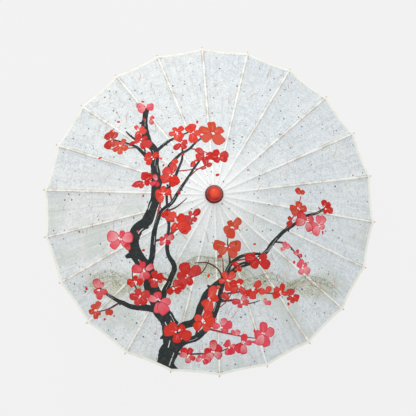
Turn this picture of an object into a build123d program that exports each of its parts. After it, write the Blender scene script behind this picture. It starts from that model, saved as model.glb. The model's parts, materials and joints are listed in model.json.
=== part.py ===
from build123d import *
import os
from math import cos, radians, sin, tan

# Oil paper umbrella, modelled open. All sizes in millimetres and degrees.
# Frame: origin on the shaft's axis at the bottom of the end cap, +Z up, rib_01 along +X.
#
# Each rib hangs on the top hub's wire. Each stretcher joins a rib, halfway out, to the runner's
# wire. The stretcher is as long as the rib's inner part and both wires have the same radius, so
# rib and stretcher are always mirror images about the level of their pivot, and every hinge
# angle stays a constant multiple of the fold angle.

# --- driving dimensions ---
RIB_COUNT = 22
OPEN_RADIUS = 420.0  # shaft axis to the end of a rib's hinge line
OPEN_SLOPE = 23.0  # how far a rib dips below the horizontal when open
TOP_HINGE_Z = 520.0  # level of the top hub's wire
HINGE_CIRCLE = 15.0  # radius of both hinge wires
STRETCHER_LENGTH = 205.0  # pivot to pivot, and also hub wire to rib pivot

SHAFT_RADIUS = 7.5
SHAFT_TOP_Z = 543.0
GLUE_GAP = 0.02  # radial gap of parts that are glued or pressed on
PIVOT_GAP = 0.06  # radial running clearance on a pivot pin
SLIDE_GAP = 0.1  # radial running clearance of the runner on the shaft

WIRE_RADIUS = 0.6
WIRE_HOLE_RADIUS = 0.7  # straight hole through a tongue around the curved wire
WIRE_TUNNEL_RADIUS = 0.65  # curved tunnel through the hub and the runner
TONGUE_THICKNESS = 2.0
SLOT_WIDTH = 2.2
SLOT_FLOOR_RADIUS = 12.4

RIB_UNDERSIDE = 2.0  # above the hinge line
RIB_TOP = 5.5  # above the hinge line; the paper lies here
RIB_ROOT_WIDTH = 4.2
RIB_WIDTH = 5.0
RIB_TIP_WIDTH = 3.0
RIB_TIP_UNDERSIDE = 4.0
RIB_SHOULDER = 15.0  # hinge to where the full width starts
RIB_FULL_WIDTH_FROM = 60.0
RIB_TAPER_FROM = 330.0
KNUCKLE_RADIUS = 2.2  # rounded ends of the rib's tongue and of its pivot lugs
LUG_LENGTH = 10.0
PIVOT_PIN_RADIUS = 0.9
PIVOT_PIN_LENGTH = 4.8

STRETCHER_DEPTH = 3.5
STRETCHER_WIDTH = 3.4
STRETCHER_RUNNER_SHOULDER = 8.0
STRETCHER_RIB_SHOULDER = 5.0

PAPER_THICKNESS = 0.4
PAPER_GAP = 0.25  # keeps the flat facets clear of the ribs' square shoulders
PAPER_HOLE_RADIUS = 13.0
PAPER_RIM_RADIUS = 418.0
RIM_BOW = 2.0  # how far the rim is drawn in between two ribs
BINDING_WIDTH = 6.0
BINDING_THICKNESS = 0.3

HUB_RADIUS = 19.0
HUB_ABOVE_WIRE = 3.5
HUB_BELOW_WIRE = 12.0

RUNNER_RADIUS = 19.5
RUNNER_SLEEVE_RADIUS = 12.2
RUNNER_FOOT_RADIUS = 14.0
RUNNER_FOOT_HEIGHT = 5.0
RUNNER_ABOVE_WIRE = 5.5
RUNNER_FLANGE_BELOW_WIRE = 5.0
RUNNER_BELOW_WIRE = 35.0

STOP_PIN_RADIUS = 1.2
STOP_PIN_LENGTH = 20.0
STOP_PIN_GAP = 1.0

CATCH_THICKNESS = 2.2
CATCH_SLOT_WIDTH = 2.6
CATCH_HEIGHT = 24.3  # pivot to the top of the nose
CATCH_REACH = 10.5  # shaft axis to the tip of the nose
CATCH_GAP = 0.5  # between the nose and the open runner
CATCH_PIVOT_X = 2.0
CATCH_EYE_RADIUS = 2.5
CATCH_NOSE_BACK = 0.5  # how far the nose's flat top reaches behind the pivot
CATCH_NOSE_DEPTH = 2.0
CATCH_LEAF_SINK = 1.0  # how far the slope under the nose starts inside the shaft
CATCH_PIN_RADIUS = 1.0
CATCH_PIN_LENGTH = 14.0

COLLAR_RADIUS = 21.0
COLLAR_TOP_Z = 532.0
COLLAR_EDGE = 1.5
COLLAR_PAPER_GAP = 0.15
KNOB_RADIUS = 18.0
KNOB_TOP_Z = 553.0
KNOB_SOCKET_GAP = 0.5

GRIP_RADIUS = 12.0
GRIP_BOTTOM_Z = 4.0
GRIP_TOP_Z = 70.0
GRIP_EDGE = 2.0
CAP_RADIUS = 11.4
CAP_SPIGOT_RADIUS = 3.0
CAP_SPIGOT_HEIGHT = 12.0
CAP_SOCKET_SLACK = 1.0  # empty length above the spigot

# --- worked out from them ---
PITCH = 360 / RIB_COUNT
RIB_LENGTH = (OPEN_RADIUS - HINGE_CIRCLE) / cos(radians(OPEN_SLOPE))
RUNNER_HINGE_Z = TOP_HINGE_Z - 2 * STRETCHER_LENGTH * sin(radians(OPEN_SLOPE))
CATCH_PIVOT_Z = RUNNER_HINGE_Z - RUNNER_BELOW_WIRE - CATCH_GAP - CATCH_HEIGHT


def save(node, *solids):
    """Write one node, which may hold more than one separate solid."""
    shape = solids[0] if len(solids) == 1 else Compound(solids)
    export_step(shape, f"parts/{node}.step")


def slab(outline, width):
    """Thicken a side-view outline (x outwards, y upwards) equally to both sides."""
    return extrude(Plane.XZ * outline, width / 2, both=True)


def cross_pin(radius, length, x=0.0, z=0.0):
    """Round pin or hole along Y, centred on the rib plane."""
    return Pos(x, 0, z) * Rot(90, 0, 0) * Cylinder(radius, length)


def ring(radius, bore, bottom, top):
    """Round sleeve about the shaft's axis."""
    height = top - bottom
    body = Cylinder(radius, height) - Cylinder(bore, height)
    return Pos(0, 0, (bottom + top) / 2) * body


def around_shaft(shape, index):
    """Turn a shape from the +X direction to the direction of rib number index."""
    return Rot(0, 0, index * PITCH) * shape


# --- ribs and stretchers, laid flat along +X with their inner hinge at the origin ---


def flat_rib():
    """One split-bamboo rib: tongue for the hub wire, pivot lugs, tapered outer half."""
    body_outline = Polygon(
        (RIB_SHOULDER, RIB_UNDERSIDE),
        (RIB_SHOULDER, RIB_TOP),
        (RIB_LENGTH, RIB_TOP),
        (RIB_LENGTH, RIB_TIP_UNDERSIDE),
        (RIB_TAPER_FROM, RIB_UNDERSIDE),
        align=None,
    )
    half_plan = [
        (RIB_SHOULDER, RIB_ROOT_WIDTH / 2),
        (RIB_FULL_WIDTH_FROM, RIB_WIDTH / 2),
        (RIB_TAPER_FROM, RIB_WIDTH / 2),
        (RIB_LENGTH, RIB_TIP_WIDTH / 2),
    ]
    mirrored_plan = [(x, -y) for x, y in reversed(half_plan)]
    plan = extrude(Polygon(*half_plan, *mirrored_plan, align=None), RIB_TOP, both=True)
    bar = slab(body_outline, RIB_WIDTH) & plan

    depth = RIB_TOP - RIB_UNDERSIDE
    middle = (RIB_TOP + RIB_UNDERSIDE) / 2
    root = Pos(RIB_SHOULDER, middle) * Rectangle(LUG_LENGTH / 2, depth)
    tongue_outline = make_hull(Circle(KNUCKLE_RADIUS).edges() + root.edges())
    tongue = slab(tongue_outline, TONGUE_THICKNESS)

    pivot_end = Pos(STRETCHER_LENGTH, 0) * Circle(KNUCKLE_RADIUS)
    lug_root = Pos(STRETCHER_LENGTH, middle) * Rectangle(LUG_LENGTH, depth)
    lugs = slab(make_hull(pivot_end.edges() + lug_root.edges()), RIB_WIDTH)
    fork_depth = RIB_UNDERSIDE + KNUCKLE_RADIUS
    fork_middle = (RIB_UNDERSIDE - KNUCKLE_RADIUS) / 2
    fork = Pos(STRETCHER_LENGTH, 0, fork_middle) * Box(LUG_LENGTH, SLOT_WIDTH, fork_depth)

    wire_hole = cross_pin(WIRE_HOLE_RADIUS, RIB_WIDTH)
    pin_hole = cross_pin(PIVOT_PIN_RADIUS + GLUE_GAP, RIB_WIDTH, STRETCHER_LENGTH)
    return bar + tongue + (lugs - fork) - wire_hole - pin_hole


def flat_stretcher():
    """One stretcher with a thin tongue at each end, runner hinge at the origin."""
    half = STRETCHER_LENGTH / 2
    end_to_end = Pos(half, 0) * SlotCenterToCenter(STRETCHER_LENGTH, STRETCHER_DEPTH)
    full_width_length = STRETCHER_LENGTH - STRETCHER_RUNNER_SHOULDER - STRETCHER_RIB_SHOULDER
    full_width_middle = STRETCHER_RUNNER_SHOULDER + full_width_length / 2
    bar = Box(full_width_length, STRETCHER_WIDTH, STRETCHER_DEPTH)
    blank = slab(end_to_end, TONGUE_THICKNESS) + Pos(full_width_middle, 0, 0) * bar
    wire_hole = cross_pin(WIRE_HOLE_RADIUS, STRETCHER_WIDTH)
    pin_hole = cross_pin(PIVOT_PIN_RADIUS + PIVOT_GAP, STRETCHER_WIDTH, STRETCHER_LENGTH)
    return blank - wire_hole - pin_hole


def save_ribs_and_stretchers():
    rib_place = Pos(HINGE_CIRCLE, 0, TOP_HINGE_Z) * Rot(0, OPEN_SLOPE, 0)
    stretcher_place = Pos(HINGE_CIRCLE, 0, RUNNER_HINGE_Z) * Rot(0, -OPEN_SLOPE, 0)
    rib = rib_place * flat_rib()
    pivot_pin = rib_place * cross_pin(PIVOT_PIN_RADIUS, PIVOT_PIN_LENGTH, STRETCHER_LENGTH)
    stretcher = stretcher_place * flat_stretcher()
    for index in range(RIB_COUNT):
        number = f"{index + 1:02d}"
        save(f"rib_{number}", around_shaft(rib, index), around_shaft(pivot_pin, index))
        save(f"stretcher_{number}", around_shaft(stretcher, index))


# --- paper and its binding ---


def rib_line_z(radius, height):
    """Level at a radius of a line that runs parallel to the ribs, height above their hinges."""
    slope = radians(OPEN_SLOPE)
    return TOP_HINGE_Z + height / cos(slope) - (radius - HINGE_CIRCLE) * tan(slope)


def facet_cone(height):
    """Solid pyramid with one edge over each rib, height above the hinge lines."""
    sections = []
    for radius in (PAPER_HOLE_RADIUS / 2, OPEN_RADIUS + BINDING_WIDTH):
        level = Plane.XY.offset(rib_line_z(radius, height))
        sections.append(level * RegularPolygon(radius, RIB_COUNT))
    return loft(sections, ruled=True)


def scalloped_disc(inset):
    """Outline of the rim seen from above, drawn in between the ribs, moved in by inset."""
    half_chord = PAPER_RIM_RADIUS * sin(radians(PITCH / 2))
    bow_radius = (half_chord**2 + RIM_BOW**2) / (2 * RIM_BOW)
    bow_centre = PAPER_RIM_RADIUS * cos(radians(PITCH / 2)) - RIM_BOW + bow_radius
    outside = PolarLocations(bow_centre, RIB_COUNT, start_angle=PITCH / 2)
    outline = RegularPolygon(PAPER_RIM_RADIUS - inset, RIB_COUNT)
    return outline - [place * Circle(bow_radius + inset) for place in outside]


def sheet(lower_height, thickness, outline):
    """Faceted sheet of even thickness, trimmed to an outline seen from above."""
    cone = facet_cone(lower_height + thickness) - facet_cone(lower_height)
    return cone & extrude(outline, TOP_HINGE_Z * 2, both=True)


def save_canopy():
    paper_bottom = RIB_TOP + PAPER_GAP
    paper_top = paper_bottom + PAPER_THICKNESS
    rim = scalloped_disc(0)
    save("canopy", sheet(paper_bottom, PAPER_THICKNESS, rim - Circle(PAPER_HOLE_RADIUS)))
    band = rim - scalloped_disc(BINDING_WIDTH)
    save("rim_binding", sheet(paper_top + GLUE_GAP, BINDING_THICKNESS, band))


# --- shaft, hub and runner ---


def hinge_slots():
    """One radial slot per rib, open at the outside, for cutting from a hub or a runner."""
    length = RUNNER_RADIUS + HUB_RADIUS
    blade = Pos(SLOT_FLOOR_RADIUS + length / 2, 0, 0) * Box(length, SLOT_WIDTH, TOP_HINGE_Z)
    return [around_shaft(blade, index) for index in range(RIB_COUNT)]


def hinge_wire(level, radius):
    return Pos(0, 0, level) * Torus(HINGE_CIRCLE, radius)


def save_top_hub():
    bottom = TOP_HINGE_Z - HUB_BELOW_WIRE
    top = TOP_HINGE_Z + HUB_ABOVE_WIRE
    block = ring(HUB_RADIUS, SHAFT_RADIUS + GLUE_GAP, bottom, top)
    slots = [Pos(0, 0, TOP_HINGE_Z) * slot for slot in hinge_slots()]
    save("top_hub", block - slots - hinge_wire(TOP_HINGE_Z, WIRE_TUNNEL_RADIUS))
    save("top_hub_wire", hinge_wire(TOP_HINGE_Z, WIRE_RADIUS))


def save_runner():
    bottom = RUNNER_HINGE_Z - RUNNER_BELOW_WIRE
    flange_bottom = RUNNER_HINGE_Z - RUNNER_FLANGE_BELOW_WIRE
    top = RUNNER_HINGE_Z + RUNNER_ABOVE_WIRE
    bore = SHAFT_RADIUS + SLIDE_GAP
    slots = [Pos(0, 0, RUNNER_HINGE_Z) * slot for slot in hinge_slots()]
    flange = ring(RUNNER_RADIUS, bore, flange_bottom, top) - slots
    sleeve = ring(RUNNER_SLEEVE_RADIUS, bore, bottom, flange_bottom)
    foot = ring(RUNNER_FOOT_RADIUS, bore, bottom, bottom + RUNNER_FOOT_HEIGHT)
    tunnel = hinge_wire(RUNNER_HINGE_Z, WIRE_TUNNEL_RADIUS)
    save("runner", flange + sleeve + foot - tunnel)
    save("runner_wire", hinge_wire(RUNNER_HINGE_Z, WIRE_RADIUS))


def save_stop_pin():
    level = RUNNER_HINGE_Z + RUNNER_ABOVE_WIRE + STOP_PIN_GAP + STOP_PIN_RADIUS
    save("stop_pin", cross_pin(STOP_PIN_RADIUS, STOP_PIN_LENGTH, 0, level))
    return cross_pin(STOP_PIN_RADIUS + GLUE_GAP, STOP_PIN_LENGTH, 0, level)


def save_catch():
    """Spring catch under the open runner; its sloped underside lets the runner pass upwards."""
    eye = Pos(CATCH_PIVOT_X, CATCH_PIVOT_Z) * Circle(CATCH_EYE_RADIUS)
    nose_top = CATCH_PIVOT_Z + CATCH_HEIGHT
    nose = Polygon(
        (CATCH_PIVOT_X - CATCH_NOSE_BACK, nose_top),
        (CATCH_REACH, nose_top),
        (CATCH_REACH, nose_top - CATCH_NOSE_DEPTH),
        (SHAFT_RADIUS - CATCH_LEAF_SINK, nose_top - CATCH_HEIGHT / 2),
        align=None,
    )
    leaf = slab(make_hull(eye.edges() + nose.edges()), CATCH_THICKNESS)
    eye_hole = cross_pin(
        CATCH_PIN_RADIUS + PIVOT_GAP, CATCH_THICKNESS, CATCH_PIVOT_X, CATCH_PIVOT_Z
    )
    save("catch_spring", leaf - eye_hole)
    pin = cross_pin(CATCH_PIN_RADIUS, CATCH_PIN_LENGTH, CATCH_PIVOT_X, CATCH_PIVOT_Z)
    save("catch_pin", pin)

    room_at_each_end = 2 * CATCH_EYE_RADIUS
    slot_height = CATCH_HEIGHT + 2 * room_at_each_end
    slot_length = SHAFT_RADIUS + CATCH_REACH
    slot_centre_z = CATCH_PIVOT_Z + CATCH_HEIGHT / 2
    slot = Box(slot_length, CATCH_SLOT_WIDTH, slot_height)
    placed_slot = Pos(CATCH_REACH / 2, 0, slot_centre_z) * slot
    pin_hole = cross_pin(
        CATCH_PIN_RADIUS + GLUE_GAP, 2 * SHAFT_RADIUS, CATCH_PIVOT_X, CATCH_PIVOT_Z
    )
    return placed_slot + pin_hole


def save_shaft(cuts):
    length = SHAFT_TOP_Z - GRIP_BOTTOM_Z
    pole = Pos(0, 0, GRIP_BOTTOM_Z + length / 2) * Cylinder(SHAFT_RADIUS, length)
    socket_height = CAP_SPIGOT_HEIGHT + CAP_SOCKET_SLACK
    socket = Cylinder(CAP_SPIGOT_RADIUS + GLUE_GAP, socket_height)
    placed_socket = Pos(0, 0, GRIP_BOTTOM_Z + socket_height / 2) * socket
    save("shaft", pole - placed_socket - cuts)


# --- finial and handle ---


def save_finial():
    """Dark collar that clamps the paper's centre, and the red dome knob on top of it."""
    bore = SHAFT_RADIUS + GLUE_GAP
    paper_top = RIB_TOP + PAPER_GAP + PAPER_THICKNESS
    clearance = paper_top + COLLAR_PAPER_GAP
    edge_z = rib_line_z(COLLAR_RADIUS, clearance)
    collar_side = Polygon(
        (bore, rib_line_z(bore, clearance)),
        (bore, COLLAR_TOP_Z),
        (COLLAR_RADIUS - COLLAR_EDGE, COLLAR_TOP_Z),
        (COLLAR_RADIUS, COLLAR_TOP_Z - COLLAR_EDGE),
        (COLLAR_RADIUS, edge_z),
        align=None,
    )
    save("finial_collar", revolve(Plane.XZ * collar_side, Axis.Z))

    base_z = COLLAR_TOP_Z + GLUE_GAP
    ball_z = KNOB_TOP_Z - KNOB_RADIUS
    drum = Pos(0, 0, (base_z + ball_z) / 2) * Cylinder(KNOB_RADIUS, ball_z - base_z)
    base_aligned = (Align.CENTER, Align.CENTER, Align.MIN)
    dome = Pos(0, 0, ball_z) * Sphere(KNOB_RADIUS, arc_size1=0, align=base_aligned)
    knob = drum + dome
    socket_height = SHAFT_TOP_Z + KNOB_SOCKET_GAP - base_z
    socket = Pos(0, 0, base_z + socket_height / 2) * Cylinder(bore, socket_height)
    save("finial_knob", knob - socket)


def save_handle():
    grip = ring(GRIP_RADIUS, SHAFT_RADIUS + GLUE_GAP, GRIP_BOTTOM_Z, GRIP_TOP_Z)
    top_edge = grip.edges().filter_by(GeomType.CIRCLE).group_by(Axis.Z)[-1].sort_by(SortBy.RADIUS)
    save("handle_grip", fillet(top_edge[-1], GRIP_EDGE))

    cap_top = GRIP_BOTTOM_Z - GLUE_GAP
    disc = Pos(0, 0, cap_top / 2) * Cylinder(CAP_RADIUS, cap_top)
    bottom_edge = disc.edges().filter_by(GeomType.CIRCLE).sort_by(Axis.Z)[0]
    spigot = Pos(0, 0, cap_top + CAP_SPIGOT_HEIGHT / 2) * Cylinder(
        CAP_SPIGOT_RADIUS, CAP_SPIGOT_HEIGHT
    )
    save("end_cap", fillet(bottom_edge, GRIP_EDGE / 2) + spigot)


os.makedirs("parts", exist_ok=True)
save_ribs_and_stretchers()
save_canopy()
save_top_hub()
save_runner()
save_shaft(save_stop_pin() + save_catch())
save_finial()
save_handle()
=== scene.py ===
import json
import math
import random

import bpy
from mathutils import Matrix, Vector, noise
from mathutils.geometry import delaunay_2d_cdt

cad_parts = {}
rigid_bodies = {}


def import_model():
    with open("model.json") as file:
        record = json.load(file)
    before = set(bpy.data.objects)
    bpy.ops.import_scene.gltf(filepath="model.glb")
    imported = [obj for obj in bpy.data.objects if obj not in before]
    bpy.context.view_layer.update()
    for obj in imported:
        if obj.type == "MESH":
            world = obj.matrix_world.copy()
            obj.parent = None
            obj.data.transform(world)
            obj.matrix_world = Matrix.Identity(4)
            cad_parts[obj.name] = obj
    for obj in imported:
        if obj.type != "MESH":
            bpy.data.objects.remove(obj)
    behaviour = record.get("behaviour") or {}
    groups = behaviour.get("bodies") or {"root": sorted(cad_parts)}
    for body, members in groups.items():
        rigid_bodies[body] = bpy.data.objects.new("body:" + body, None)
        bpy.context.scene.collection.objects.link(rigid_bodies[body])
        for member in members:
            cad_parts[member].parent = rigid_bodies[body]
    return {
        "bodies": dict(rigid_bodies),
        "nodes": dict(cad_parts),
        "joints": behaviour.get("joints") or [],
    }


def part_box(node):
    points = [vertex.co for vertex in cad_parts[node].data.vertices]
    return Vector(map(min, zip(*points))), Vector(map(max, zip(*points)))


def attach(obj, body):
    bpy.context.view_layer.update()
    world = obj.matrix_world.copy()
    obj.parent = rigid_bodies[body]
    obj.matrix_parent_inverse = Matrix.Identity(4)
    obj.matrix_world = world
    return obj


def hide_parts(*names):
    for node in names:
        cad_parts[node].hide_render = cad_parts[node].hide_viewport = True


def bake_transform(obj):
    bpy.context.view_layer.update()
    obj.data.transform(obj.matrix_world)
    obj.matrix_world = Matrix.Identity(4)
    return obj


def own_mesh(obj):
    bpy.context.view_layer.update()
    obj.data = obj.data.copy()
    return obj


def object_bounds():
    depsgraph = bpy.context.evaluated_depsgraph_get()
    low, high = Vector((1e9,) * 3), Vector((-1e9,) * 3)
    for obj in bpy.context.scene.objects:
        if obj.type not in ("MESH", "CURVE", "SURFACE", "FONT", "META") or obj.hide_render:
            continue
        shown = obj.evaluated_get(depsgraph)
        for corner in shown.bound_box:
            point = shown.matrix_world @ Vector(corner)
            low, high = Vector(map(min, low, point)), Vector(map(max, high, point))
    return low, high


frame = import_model()
cad_low, cad_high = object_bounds()

# ----------------------------------------------------------
# Sizes read from the frame. Metres, in the part's own axes: shaft along +Z, rib_01 along +X.
# ----------------------------------------------------------

MM = 0.001
JOINT = {joint["name"]: joint for joint in frame["joints"]}
RIBS = sum(1 for body in frame["bodies"] if body.startswith("rib_"))
HALF_PITCH = math.pi / RIBS
HUB_HINGE = Vector(JOINT["canopy_fold"]["pos_m"])
RIB_PIVOT = Vector(JOINT["stretcher_fold_01"]["pos_m"])
HINGE_CIRCLE = HUB_HINGE.x
SLOPE = math.atan2(HUB_HINGE.z - RIB_PIVOT.z, RIB_PIVOT.x - HUB_HINGE.x)
PAPER_HOLE = 13 * MM
RIM_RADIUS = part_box("canopy")[1].x
OUTER_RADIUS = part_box("rib_01")[1].x
RIM_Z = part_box("canopy")[0].z
KNOB_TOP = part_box("finial_knob")[1].z

# How the paper lies on the ribs, as heights above the hinge line.
PAPER_OVER_RIB = 5.85 * MM
PAPER_BETWEEN = 4.3 * MM
RIDGE_HALF_WIDTH = 2.65 * MM  # also where the strip over a rib meets the two half gores
RIDGE_FOOT = 4.2 * MM
SAG = 3.0 * MM
RIM_BOW = 2.0 * MM
CROWN_RADIUS = 24 * MM
BINDING_WIDTH = 6 * MM
BINDING_LIFT = 0.35 * MM
PAPER_THICKNESS = 0.3 * MM
GRID_STEP = 9 * MM

# The painting is laid out in millimetres on a plan of the open canopy, east to the right and
# north up as seen by the camera, and turned by this angle into the part's axes.
PAINTING_TURN = math.radians(5.2)


def srgb(red, green, blue):
    """Linear colour from the usual 0 to 255 display values."""
    def linear(value):
        share = value / 255
        return share / 12.92 if share <= 0.04045 else ((share + 0.055) / 1.055) ** 2.4
    return (linear(red), linear(green), linear(blue))


def in_picture(east, north):
    """A horizontal place or direction, turned from the painting's axes to the part's."""
    return Matrix.Rotation(PAINTING_TURN, 3, "Z") @ Vector((east, north, 0))


def signed_area(outline):
    """Area inside an outline, negative when it runs clockwise."""
    pairs = zip(outline, outline[1:] + outline[:1])
    return sum(ax * by - bx * ay for (ax, ay), (bx, by) in pairs) / 2


def encloses(outline, x, y):
    """Whether a point lies inside an outline: it does after an odd number of crossings."""
    crossings = 0
    for (ax, ay), (bx, by) in zip(outline, outline[1:] + outline[:1]):
        if (ay > y) != (by > y) and x < ax + (bx - ax) * (y - ay) / (by - ay):
            crossings += 1
    return crossings % 2 == 1


def smooth_step(low, high, value):
    share = min(1.0, max(0.0, (value - low) / (high - low)))
    return share * share * (3 - 2 * share)


# ----------------------------------------------------------
# Node helpers
# ----------------------------------------------------------


class Graph:
    """A material's node tree with short calls for the nodes used here."""

    def __init__(self, name):
        self.material = bpy.data.materials.new(name)
        self.material.use_nodes = True
        self.tree = self.material.node_tree
        self.surface = self.tree.nodes["Principled BSDF"]
        self.place = self.node("ShaderNodeTexCoord").outputs["Object"]

    def node(self, kind, **settings):
        made = self.tree.nodes.new(kind)
        for key, value in settings.items():
            setattr(made, key, value)
        return made

    def feed(self, socket, value):
        """Link a socket, or set a plain number, colour or vector."""
        if isinstance(value, bpy.types.NodeSocket):
            self.tree.links.new(value, socket)
        elif isinstance(value, tuple) and len(value) == 3 and socket.type == "RGBA":
            socket.default_value = (*value, 1)
        else:
            socket.default_value = value

    def math(self, operation, first, second=0.0, clamp=False):
        made = self.node("ShaderNodeMath", operation=operation, use_clamp=clamp)
        self.feed(made.inputs[0], first)
        self.feed(made.inputs[1], second)
        return made.outputs[0]

    def times(self, first, second):
        return self.math("MULTIPLY", first, second)

    def plus(self, first, second):
        return self.math("ADD", first, second)

    def scaled(self, vector, factors):
        made = self.node("ShaderNodeVectorMath", operation="MULTIPLY")
        self.feed(made.inputs[0], vector)
        self.feed(made.inputs[1], factors)
        return made.outputs[0]

    def noise(self, vector, scale, detail=3.0, roughness=0.5, distortion=0.0):
        made = self.node("ShaderNodeTexNoise")
        self.feed(made.inputs["Vector"], vector)
        self.feed(made.inputs["Scale"], scale)
        self.feed(made.inputs["Detail"], detail)
        self.feed(made.inputs["Roughness"], roughness)
        self.feed(made.inputs["Distortion"], distortion)
        return made.outputs["Fac"]

    def cells(self, vector, scale):
        """Distance to the nearest random point, and that point's own random value."""
        made = self.node("ShaderNodeTexVoronoi")
        self.feed(made.inputs["Vector"], vector)
        self.feed(made.inputs["Scale"], scale)
        parts = self.node("ShaderNodeSeparateColor")
        self.feed(parts.inputs[0], made.outputs["Color"])
        return made.outputs["Distance"], parts.outputs[0]

    def span(self, value, low, high, to_low=0.0, to_high=1.0):
        """Smoothly map low..high to to_low..to_high."""
        made = self.node("ShaderNodeMapRange", interpolation_type="SMOOTHSTEP")
        self.feed(made.inputs["Value"], value)
        self.feed(made.inputs["From Min"], low)
        self.feed(made.inputs["From Max"], high)
        self.feed(made.inputs["To Min"], to_low)
        self.feed(made.inputs["To Max"], to_high)
        return made.outputs["Result"]

    def mix(self, share, first, second):
        made = self.node("ShaderNodeMix", data_type="RGBA")
        self.feed(made.inputs["Factor"], share)
        colours = [socket for socket in made.inputs if socket.type == "RGBA"]
        self.feed(colours[0], first)
        self.feed(colours[1], second)
        return next(socket for socket in made.outputs if socket.type == "RGBA")

    def attribute(self, name):
        return self.node("ShaderNodeAttribute", attribute_name=name).outputs["Fac"]

    def axes(self, vector):
        made = self.node("ShaderNodeSeparateXYZ")
        self.feed(made.inputs[0], vector)
        return made.outputs

    def join(self, x, y, z):
        made = self.node("ShaderNodeCombineXYZ")
        for socket, value in zip(made.inputs, (x, y, z)):
            self.feed(socket, value)
        return made.outputs[0]

    def polar(self):
        """Distance from the shaft and angle round it."""
        x, y, _ = self.axes(self.place)
        squares = self.plus(self.times(x, x), self.times(y, y))
        return self.math("SQRT", squares), self.math("ARCTAN2", y, x)

    def bump(self, height, depth):
        made = self.node("ShaderNodeBump")
        self.feed(made.inputs["Height"], height)
        self.feed(made.inputs["Distance"], depth)
        self.feed(made.inputs["Strength"], 1.0)
        self.feed(self.surface.inputs["Normal"], made.outputs["Normal"])

    def finish(self, colour, roughness, specular=0.4, metallic=0.0, coat=0.0, coat_roughness=0.1):
        inputs = self.surface.inputs
        self.feed(inputs["Base Color"], colour)
        self.feed(inputs["Roughness"], roughness)
        inputs["Specular IOR Level"].default_value = specular
        inputs["Metallic"].default_value = metallic
        inputs["Coat Weight"].default_value = coat
        inputs["Coat Roughness"].default_value = coat_roughness
        return self.material


# ----------------------------------------------------------
# Materials
# ----------------------------------------------------------


def paper_fibres(graph):
    """Fine crossed fibres, about half a millimetre across, as a 0 to 1 value."""
    along = graph.noise(graph.scaled(graph.place, (120.0, 1500.0, 400.0)), 1.0, 3.0)
    across = graph.noise(graph.scaled(graph.place, (1500.0, 120.0, 400.0)), 1.0, 3.0)
    return graph.times(graph.plus(along, across), 0.5)


def bare_paper(graph):
    """Oiled paper: cool white, whiter near the crown, mottled, creased with painted shade and
    highlight, with fibres.
    """
    fibres = paper_fibres(graph)
    radius, angle = graph.polar()
    clouds = graph.noise(graph.place, 7.0, 4.0, 0.55)
    mottling = graph.noise(graph.place, 60.0, 5.0, 0.7, 0.8)
    fine = graph.noise(graph.place, 230.0, 3.0, 0.7, 0.3)
    colour = graph.mix(graph.span(clouds, 0.38, 0.62), srgb(226, 234, 240), srgb(238, 242, 242))
    colour = graph.mix(graph.span(mottling, 0.42, 0.64, 0.0, 0.85), colour, srgb(204, 212, 213))
    colour = graph.mix(graph.span(fine, 0.45, 0.62, 0.0, 0.7), colour, srgb(248, 250, 248))
    colour = graph.mix(graph.span(fine, 0.5, 0.34, 0.0, 0.5), colour, srgb(178, 188, 192))
    patches = graph.span(graph.noise(graph.place, 3.2, 1.0), 0.44, 0.6, 0.1, 0.35)
    tint = graph.mix(graph.span(graph.axes(graph.place)[0], -0.15, 0.1), srgb(238, 232, 228),
                     srgb(212, 219, 229))
    colour = graph.mix(patches, colour, tint)
    haze = graph.times(graph.span(graph.noise(graph.place, 11.0, 3.0), 0.46, 0.62, 0.0, 0.6),
                       graph.span(graph.axes(graph.place)[1], 0.12, -0.12))
    colour = graph.mix(haze, colour, srgb(202, 210, 200))
    long_crease_relief_and_shade = graph.noise(graph.join(graph.times(radius, 9.0),
                                          graph.times(angle, 48.0), 0.0), 1.0, 4.0, 0.6)
    cross_crease_shade_and_highlight = graph.noise(graph.join(graph.times(radius, 170.0),
                                           graph.times(angle, 7.0), 9.0), 1.0, 3.0, 0.6)
    # Creases painted as shade and highlight: darker where the crease noise is high, paler where it is
    # low.
    for crease_shade_and_highlight, strength in ((long_crease_relief_and_shade, 0.3), (cross_crease_shade_and_highlight, 0.12)):
        colour = graph.mix(graph.span(crease_shade_and_highlight, 0.53, 0.64, 0.0, strength), colour, srgb(186, 192, 196))
        colour = graph.mix(graph.span(crease_shade_and_highlight, 0.46, 0.36, 0.0, strength), colour, srgb(252, 250, 244))
    colour = graph.mix(graph.span(radius, 0.03, 0.17, 0.85, 0.0), colour, srgb(251, 253, 251))
    colour = graph.mix(graph.span(fibres, 0.42, 0.58, 0.0, 0.45), colour, srgb(194, 202, 205))
    relief = graph.plus(graph.times(fibres, 0.5), graph.plus(mottling, long_crease_relief_and_shade))
    return colour, fibres, relief


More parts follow.
